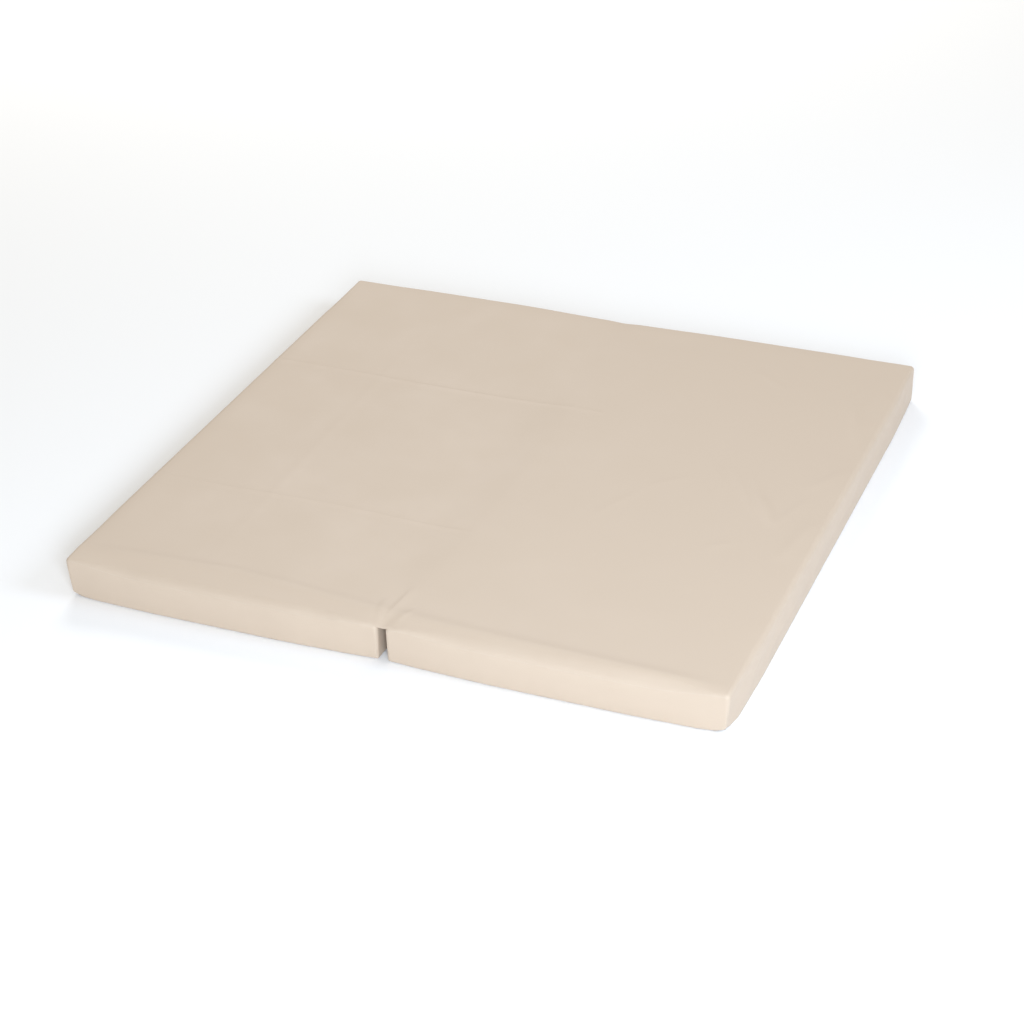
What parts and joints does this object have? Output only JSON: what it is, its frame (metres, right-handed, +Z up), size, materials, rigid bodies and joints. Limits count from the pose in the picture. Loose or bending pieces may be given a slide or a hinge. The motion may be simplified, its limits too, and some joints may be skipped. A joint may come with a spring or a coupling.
{
  "type": "spa cover",
  "caption": "Square insulated spa cover in cream coated cloth; foam halves join at a cloth hinge along the middle and fold one onto the other; zips in the hinge walls.",
  "frame": {"origin": "on the surface that the cover lies on, under the middle of the cover", "axes": "+Z up through the thickness, -Y the front edge, Y along the fold, +X towards the half that folds over"},
  "size_m": [1.6, 1.6, 0.1056],
  "materials": {
    "jacket_cloth": "matt cream coated polyester canvas",
    "underside_cloth": "matt coated scrim",
    "foam": "cut expanded polystyrene bead foam",
    "vapour_film": "milky polyethylene film",
    "galvanised_steel": "galvanised",
    "zip_tape": "woven polyester tape",
    "zip_coil": "nylon monofilament coil",
    "zip_metal": "enamelled zinc casting"
  },
  "bodies": {
    "left_half": {"back_wall_left": "jacket_cloth", "bottom_panel_left": "underside_cloth", "foam_core_left": "foam", "front_wall_left": "jacket_cloth", "hinge_channel_left": "galvanised_steel", "hinge_reinforcement": "jacket_cloth", "hinge_strip": "jacket_cloth", "hinge_wall_left": "jacket_cloth", "side_wall_left": "jacket_cloth", "top_panel_left": "jacket_cloth", "vapour_wrap_left": "vapour_film", "zip_coil_lower_left": "zip_coil", "zip_coil_upper_left": "zip_coil", "zip_stops_left": "zip_metal", "zip_tape_lower_left": "zip_tape", "zip_tape_upper_left": "zip_tape"},
    "right_half": {"back_wall_right": "jacket_cloth", "bottom_panel_right": "underside_cloth", "foam_core_right": "foam", "front_wall_right": "jacket_cloth", "hinge_channel_right": "galvanised_steel", "hinge_wall_right": "jacket_cloth", "side_wall_right": "jacket_cloth", "top_panel_right": "jacket_cloth", "vapour_wrap_right": "vapour_film", "zip_coil_lower_right": "zip_coil", "zip_coil_upper_right": "zip_coil", "zip_stops_right": "zip_metal", "zip_tape_lower_right": "zip_tape", "zip_tape_upper_right": "zip_tape"},
    "slider_left": {"zip_slider_left": "zip_metal"},
    "slider_right": {"zip_slider_right": "zip_metal"},
    "pull_left": {"zip_pull_tab_left": "zip_metal"},
    "pull_right": {"zip_pull_tab_right": "zip_metal"}
  },
  "joints": [
    {"name": "fold", "type": "hinge", "parent": "left_half", "child": "right_half", "pos_m": [0, 0, 0.1066], "axis": [0, -1, 0], "range_deg": [0, 180], "deforming": ["hinge_strip", "hinge_reinforcement"]},
    {"name": "zip_slide_left", "type": "slide", "parent": "left_half", "child": "slider_left", "axis": [0, 1, 0], "range_m": [-1.4034, 0]},
    {"name": "pull_swing_left", "type": "hinge", "parent": "slider_left", "child": "pull_left", "pos_m": [-0.00575, 0.7017, 0.0648], "axis": [0, 0, 1], "range_deg": [0, 180]},
    {"name": "zip_slide_right", "type": "slide", "parent": "right_half", "child": "slider_right", "axis": [0, 1, 0], "range_m": [-1.4034, 0]},
    {"name": "pull_swing_right", "type": "hinge", "parent": "slider_right", "child": "pull_right", "pos_m": [0.00575, 0.7017, 0.0408], "axis": [0, 0, -1], "range_deg": [0, 180]}
  ]
}
